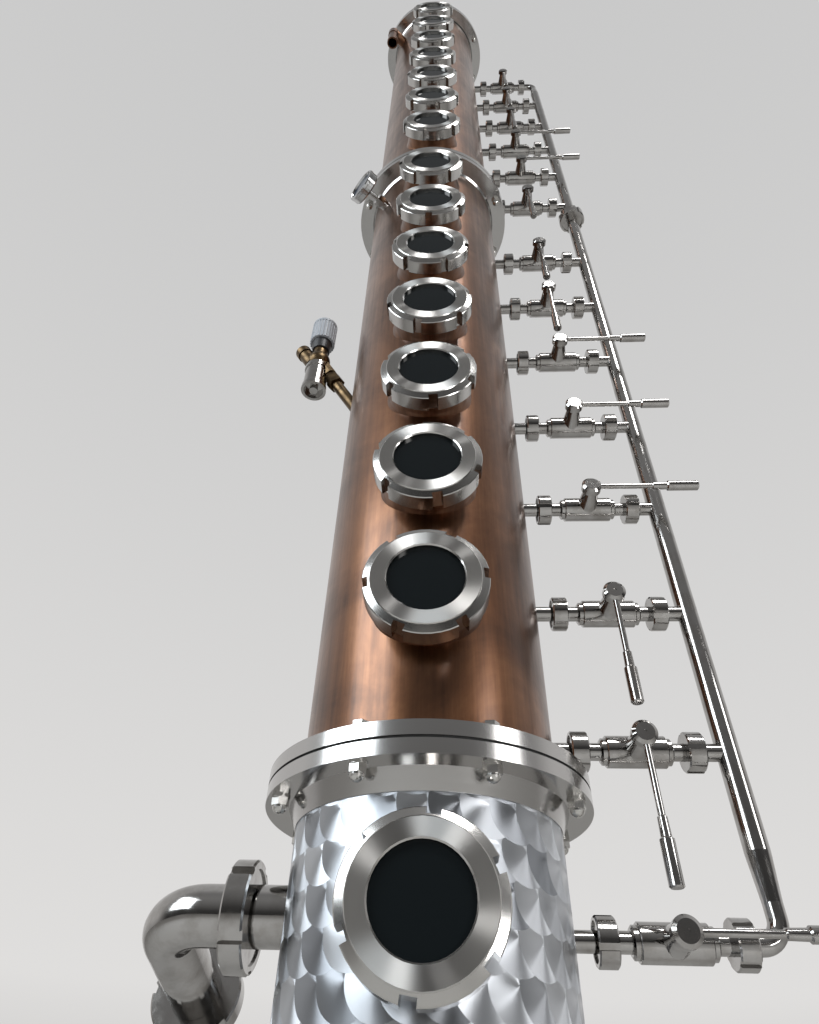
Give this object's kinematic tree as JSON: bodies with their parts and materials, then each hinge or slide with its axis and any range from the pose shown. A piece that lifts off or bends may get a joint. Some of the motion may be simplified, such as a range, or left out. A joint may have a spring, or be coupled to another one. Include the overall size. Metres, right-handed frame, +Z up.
{
  "type": "distillation column",
  "caption": "Tall copper plate distillation column with slotted round sight glass unions, on a stainless base vessel with legs, with lever valves feeding a stainless riser",
  "frame": {"origin": "on the column's axis at floor level, the centre of the anchor holes", "axes": "+Z up the column's axis, -Y out of the sight glasses, +X towards the valves and the riser"},
  "size_m": [0.753, 0.4824, 4.876],
  "materials": {
    "copper": "tarnished satin copper sheet",
    "stainless_sheet": "stainless sheet with overlapping swirl polish",
    "stainless_turned": "lathe turned bright stainless",
    "stainless_polished": "mirror polished stainless pipe and fittings",
    "sight_glass": "clear flat glass",
    "gasket_rubber": "matt black sheet",
    "brass_fitting": "dulled cast brass",
    "black_plastic": "moulded, matt",
    "grey_plastic": "moulded, ribbed"
  },
  "bodies": {
    "root": {"foot_plates": "stainless_sheet", "legs": "stainless_sheet", "base_dish": "stainless_sheet", "drain_ferrule": "stainless_sheet", "drain_blind_nut": "stainless_turned", "base_shell": "stainless_sheet", "base_flange_rings": "stainless_turned", "middle_flange_rings": "stainless_turned", "top_flange_rings": "stainless_turned", "joint_gaskets": "gasket_rubber", "lower_shell": "copper", "upper_shell": "copper", "head_dome": "copper", "vapour_neck": "copper", "vapour_nut": "stainless_turned", "base_glass_collar": "stainless_sheet", "copper_collars": "copper", "side_nozzle": "copper", "glass_nuts": "stainless_turned", "glass_panes": "sight_glass", "valve_stubs": "stainless_polished", "valve_unions": "stainless_polished", "valve_bodies": "stainless_polished", "valve_bonnets": "stainless_polished", "riser_lower": "stainless_polished", "riser_upper": "stainless_polished", "riser_union_nut": "stainless_polished", "outlet_stub": "stainless_sheet", "outlet_nuts": "stainless_turned", "outlet_elbow": "stainless_sheet", "thermometer_stem": "stainless_turned", "thermometer_dial": "stainless_turned", "feed_branch": "brass_fitting", "regulator_body": "brass_fitting", "regulator_bonnet": "black_plastic", "probe_housing": "stainless_turned"},
    "feed_knob": {"regulator_knob": "grey_plastic"},
    "valve_lever_01": {"lever_01": "stainless_polished"},
    "valve_lever_02": {"lever_02": "stainless_polished"},
    "valve_lever_03": {"lever_03": "stainless_polished"},
    "valve_lever_04": {"lever_04": "stainless_polished"},
    "valve_lever_05": {"lever_05": "stainless_polished"},
    "valve_lever_06": {"lever_06": "stainless_polished"},
    "valve_lever_07": {"lever_07": "stainless_polished"},
    "valve_lever_08": {"lever_08": "stainless_polished"},
    "valve_lever_09": {"lever_09": "stainless_polished"},
    "valve_lever_10": {"lever_10": "stainless_polished"},
    "valve_lever_11": {"lever_11": "stainless_polished"},
    "valve_lever_12": {"lever_12": "stainless_polished"},
    "valve_lever_13": {"lever_13": "stainless_polished"},
    "valve_lever_14": {"lever_14": "stainless_polished"}
  },
  "joints": [
    {"name": "feed_knob_turn", "type": "hinge", "parent": "root", "child": "feed_knob", "pos_m": [-0.232, 0, 2.5713], "axis": [0, 0, 1], "range_deg": [0, 270]},
    {"name": "valve_01_turn", "type": "hinge", "parent": "root", "child": "valve_lever_01", "pos_m": [0.251, -0.053, 1.46], "axis": [0, -1, 0], "range_deg": [-90, 0]},
    {"name": "valve_02_turn", "type": "hinge", "parent": "root", "child": "valve_lever_02", "pos_m": [0.251, -0.053, 1.66], "axis": [0, -1, 0], "range_deg": [0, 90]},
    {"name": "valve_03_turn", "type": "hinge", "parent": "root", "child": "valve_lever_03", "pos_m": [0.251, -0.053, 1.86], "axis": [0, -1, 0], "range_deg": [0, 90]},
    {"name": "valve_04_turn", "type": "hinge", "parent": "root", "child": "valve_lever_04", "pos_m": [0.251, -0.053, 2.06], "axis": [0, -1, 0], "range_deg": [-90, 0]},
    {"name": "valve_05_turn", "type": "hinge", "parent": "root", "child": "valve_lever_05", "pos_m": [0.251, -0.053, 2.26], "axis": [0, -1, 0], "range_deg": [-90, 0]},
    {"name": "valve_06_turn", "type": "hinge", "parent": "root", "child": "valve_lever_06", "pos_m": [0.251, -0.053, 2.46], "axis": [0, -1, 0], "range_deg": [-90, 0]},
    {"name": "valve_07_turn", "type": "hinge", "parent": "root", "child": "valve_lever_07", "pos_m": [0.251, -0.053, 2.66], "axis": [0, -1, 0], "range_deg": [0, 90]},
    {"name": "valve_08_turn", "type": "hinge", "parent": "root", "child": "valve_lever_08", "pos_m": [0.251, -0.053, 2.86], "axis": [0, -1, 0], "range_deg": [0, 90]},
    {"name": "valve_09_turn", "type": "hinge", "parent": "root", "child": "valve_lever_09", "pos_m": [0.251, -0.053, 3.156], "axis": [0, -1, 0], "range_deg": [0, 90]},
    {"name": "valve_10_turn", "type": "hinge", "parent": "root", "child": "valve_lever_10", "pos_m": [0.251, -0.053, 3.356], "axis": [0, -1, 0], "range_deg": [-90, 0]},
    {"name": "valve_11_turn", "type": "hinge", "parent": "root", "child": "valve_lever_11", "pos_m": [0.251, -0.053, 3.556], "axis": [0, -1, 0], "range_deg": [-90, 0]},
    {"name": "valve_12_turn", "type": "hinge", "parent": "root", "child": "valve_lever_12", "pos_m": [0.251, -0.053, 3.756], "axis": [0, -1, 0], "range_deg": [0, 90]},
    {"name": "valve_13_turn", "type": "hinge", "parent": "root", "child": "valve_lever_13", "pos_m": [0.251, -0.053, 3.956], "axis": [0, -1, 0], "range_deg": [0, 90]},
    {"name": "valve_14_turn", "type": "hinge", "parent": "root", "child": "valve_lever_14", "pos_m": [0.251, -0.053, 4.156], "axis": [0, -1, 0], "range_deg": [0, 90]}
  ]
}
